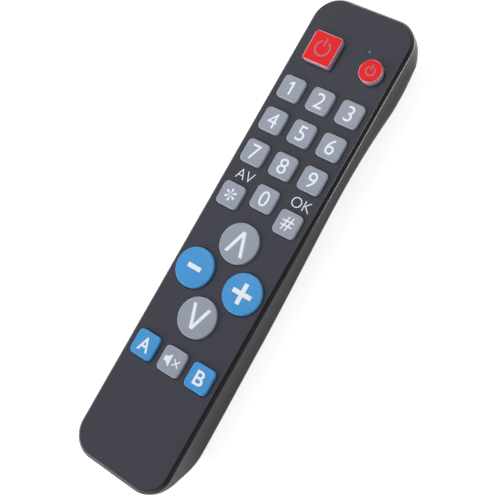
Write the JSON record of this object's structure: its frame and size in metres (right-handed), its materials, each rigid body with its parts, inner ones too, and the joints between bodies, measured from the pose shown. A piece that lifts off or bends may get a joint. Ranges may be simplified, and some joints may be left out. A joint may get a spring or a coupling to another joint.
{
  "type": "universal remote control",
  "caption": "Slim handheld universal remote control with soft number keys, rocker discs and power keys over a wavy two-shell case.",
  "frame": {"origin": "middle of the underside, on the surface that the remote lies on", "axes": "+Z out of the keyed face, +Y along the body to the infrared end, +X to the right of someone who reads the keys"},
  "size_m": [0.042, 0.1904, 0.0228],
  "materials": {
    "cover_charcoal": "finely textured moulded ABS, matt",
    "shell_black": "polished moulded ABS",
    "key_grey": "satin silicone rubber with printed legends",
    "key_blue": "satin silicone rubber with printed legends",
    "key_red": "red top on a translucent moulded body",
    "silicone_grey": "matt silicone rubber",
    "board_laminate": "phenolic laminate with printed carbon contacts",
    "window_dark": "dark infrared-passing acrylic",
    "lens_clear": "clear moulded epoxy",
    "chip_epoxy": "moulded epoxy",
    "ceramic_blue": "dipped ceramic",
    "sleeve_blue": "shrunk sleeve over aluminium",
    "cell_sleeve": "printed sleeve over steel",
    "plated_steel": "bright nickel plating"
  },
  "bodies": {
    "casing": {"capacitor": "sleeve_blue", "case_screws": "plated_steel", "cell_left": "cell_sleeve", "cell_right": "cell_sleeve", "circuit_board": "board_laminate", "contact_flags_back": "plated_steel", "contact_flags_front": "plated_steel", "controller_chip": "chip_epoxy", "front_cover": "cover_charcoal", "indicator_diode": "lens_clear", "infrared_sender": "lens_clear", "infrared_window": "window_dark", "keypad_sheet": "silicone_grey", "light_pipe": "lens_clear", "rear_shell": "shell_black", "resonator": "ceramic_blue", "spring_left": "plated_steel", "spring_right": "plated_steel"},
    "battery_door": {"battery_door": "shell_black"},
    "key_a": {"key_a": "key_blue"},
    "key_b": {"key_b": "key_blue"},
    "key_down": {"key_down": "key_grey"},
    "key_eight": {"key_eight": "key_grey"},
    "key_five": {"key_five": "key_grey"},
    "key_four": {"key_four": "key_grey"},
    "key_hash": {"key_hash": "key_grey"},
    "key_minus": {"key_minus": "key_blue"},
    "key_mute": {"key_mute": "key_grey"},
    "key_nine": {"key_nine": "key_grey"},
    "key_one": {"key_one": "key_grey"},
    "key_plus": {"key_plus": "key_blue"},
    "key_power_round": {"key_power_round": "key_red"},
    "key_power_square": {"key_power_square": "key_red"},
    "key_seven": {"key_seven": "key_grey"},
    "key_six": {"key_six": "key_grey"},
    "key_star": {"key_star": "key_grey"},
    "key_three": {"key_three": "key_grey"},
    "key_two": {"key_two": "key_grey"},
    "key_up": {"key_up": "key_grey"},
    "key_zero": {"key_zero": "key_grey"}
  },
  "joints": [
    {"name": "slide_battery_door", "type": "slide", "parent": "casing", "child": "battery_door", "axis": [0, -1, 0], "range_m": [0, 0.056]},
    {"name": "press_key_a", "type": "slide", "parent": "casing", "child": "key_a", "axis": [0, 0, -1], "range_m": [0, 0.0012], "stiffness_N_per_m": 800},
    {"name": "press_key_b", "type": "slide", "parent": "casing", "child": "key_b", "axis": [0, 0, -1], "range_m": [0, 0.0012], "stiffness_N_per_m": 800},
    {"name": "press_key_down", "type": "slide", "parent": "casing", "child": "key_down", "axis": [0, 0, -1], "range_m": [0, 0.0012], "stiffness_N_per_m": 800},
    {"name": "press_key_eight", "type": "slide", "parent": "casing", "child": "key_eight", "axis": [0, 0, -1], "range_m": [0, 0.0012], "stiffness_N_per_m": 800},
    {"name": "press_key_five", "type": "slide", "parent": "casing", "child": "key_five", "axis": [0, 0, -1], "range_m": [0, 0.0012], "stiffness_N_per_m": 800},
    {"name": "press_key_four", "type": "slide", "parent": "casing", "child": "key_four", "axis": [0, 0, -1], "range_m": [0, 0.0012], "stiffness_N_per_m": 800},
    {"name": "press_key_hash", "type": "slide", "parent": "casing", "child": "key_hash", "axis": [0, 0, -1], "range_m": [0, 0.0012], "stiffness_N_per_m": 800},
    {"name": "press_key_minus", "type": "slide", "parent": "casing", "child": "key_minus", "axis": [0, 0, -1], "range_m": [0, 0.0012], "stiffness_N_per_m": 800},
    {"name": "press_key_mute", "type": "slide", "parent": "casing", "child": "key_mute", "axis": [0, 0, -1], "range_m": [0, 0.0012], "stiffness_N_per_m": 800},
    {"name": "press_key_nine", "type": "slide", "parent": "casing", "child": "key_nine", "axis": [0, 0, -1], "range_m": [0, 0.0012], "stiffness_N_per_m": 800},
    {"name": "press_key_one", "type": "slide", "parent": "casing", "child": "key_one", "axis": [0, 0, -1], "range_m": [0, 0.0012], "stiffness_N_per_m": 800},
    {"name": "press_key_plus", "type": "slide", "parent": "casing", "child": "key_plus", "axis": [0, 0, -1], "range_m": [0, 0.0012], "stiffness_N_per_m": 800},
    {"name": "press_key_power_round", "type": "slide", "parent": "casing", "child": "key_power_round", "axis": [0, 0, -1], "range_m": [0, 0.0012], "stiffness_N_per_m": 800},
    {"name": "press_key_power_square", "type": "slide", "parent": "casing", "child": "key_power_square", "axis": [0, 0, -1], "range_m": [0, 0.0012], "stiffness_N_per_m": 800},
    {"name": "press_key_seven", "type": "slide", "parent": "casing", "child": "key_seven", "axis": [0, 0, -1], "range_m": [0, 0.0012], "stiffness_N_per_m": 800},
    {"name": "press_key_six", "type": "slide", "parent": "casing", "child": "key_six", "axis": [0, 0, -1], "range_m": [0, 0.0012], "stiffness_N_per_m": 800},
    {"name": "press_key_star", "type": "slide", "parent": "casing", "child": "key_star", "axis": [0, 0, -1], "range_m": [0, 0.0012], "stiffness_N_per_m": 800},
    {"name": "press_key_three", "type": "slide", "parent": "casing", "child": "key_three", "axis": [0, 0, -1], "range_m": [0, 0.0012], "stiffness_N_per_m": 800},
    {"name": "press_key_two", "type": "slide", "parent": "casing", "child": "key_two", "axis": [0, 0, -1], "range_m": [0, 0.0012], "stiffness_N_per_m": 800},
    {"name": "press_key_up", "type": "slide", "parent": "casing", "child": "key_up", "axis": [0, 0, -1], "range_m": [0, 0.0012], "stiffness_N_per_m": 800},
    {"name": "press_key_zero", "type": "slide", "parent": "casing", "child": "key_zero", "axis": [0, 0, -1], "range_m": [0, 0.0012], "stiffness_N_per_m": 800}
  ]
}
